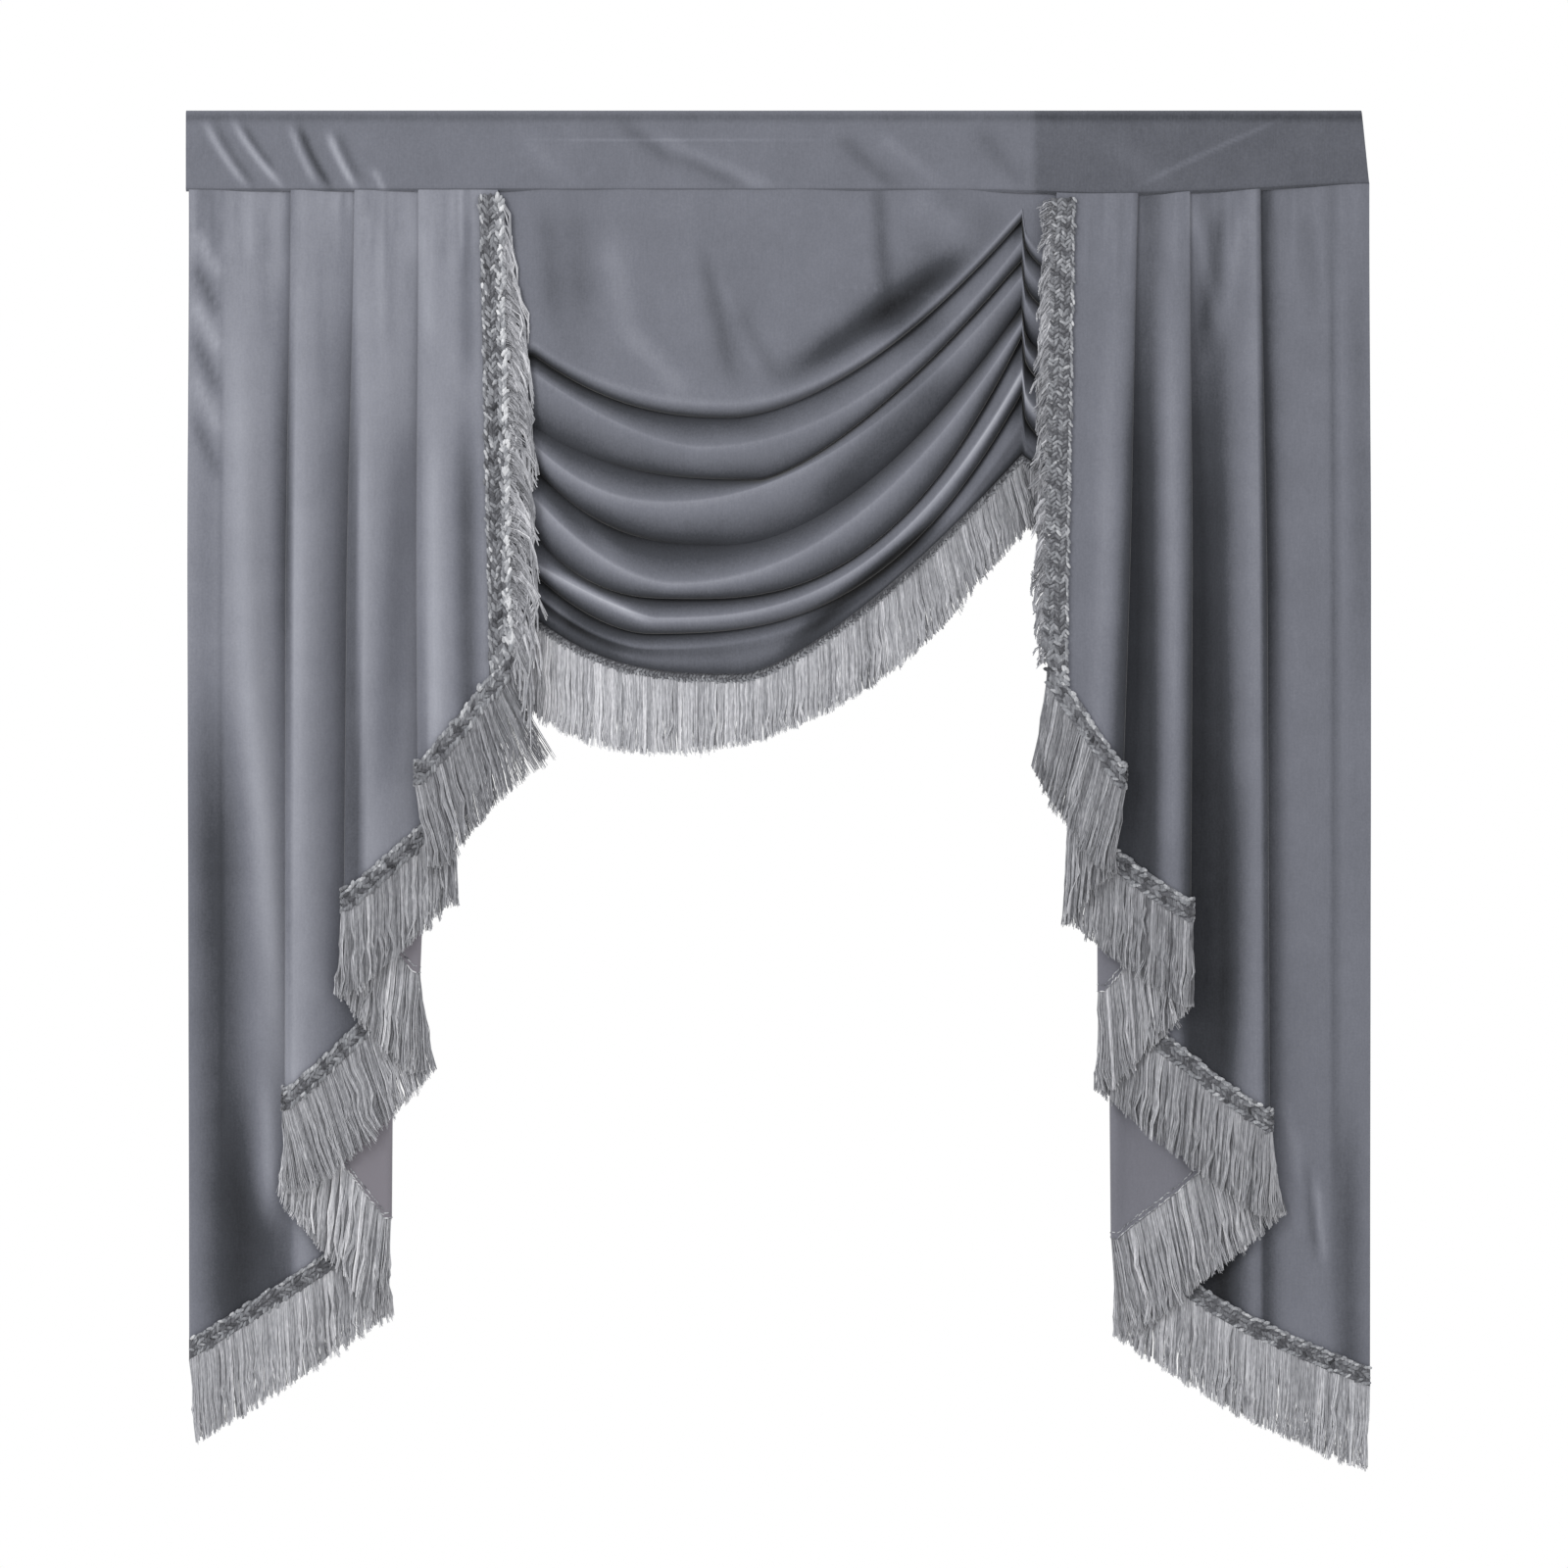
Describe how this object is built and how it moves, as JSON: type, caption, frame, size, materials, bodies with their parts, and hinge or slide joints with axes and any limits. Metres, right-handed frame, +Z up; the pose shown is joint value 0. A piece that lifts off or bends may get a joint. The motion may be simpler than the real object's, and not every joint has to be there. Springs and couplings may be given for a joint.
{
  "type": "valance",
  "caption": "Pleated velvet window valance: a flat header band, a horizontally draped swag in the middle and a stepped, pleated cascade tail at each side, all hemmed with brush fringe.",
  "frame": {"origin": "middle of the header's top edge, in the plane of the header's back face", "axes": "+Z up, +X to the right seen from the room, +Y back towards the window board"},
  "size_m": [1.207, 0.0647, 1.3841],
  "materials": {
    "velvet": "short pile cotton velvet, blue-grey, matt with a soft sheen",
    "fringe": "brushed yarn locks under a braided heading, light grey"
  },
  "bodies": {
    "root": {"header_band": "velvet", "tail_left": "velvet", "tail_right": "velvet", "swag": "velvet", "edge_fringe_left": "fringe", "hem_fringe_left": "fringe", "edge_fringe_right": "fringe", "hem_fringe_right": "fringe", "swag_fringe": "fringe"}
  },
  "joints": []
}
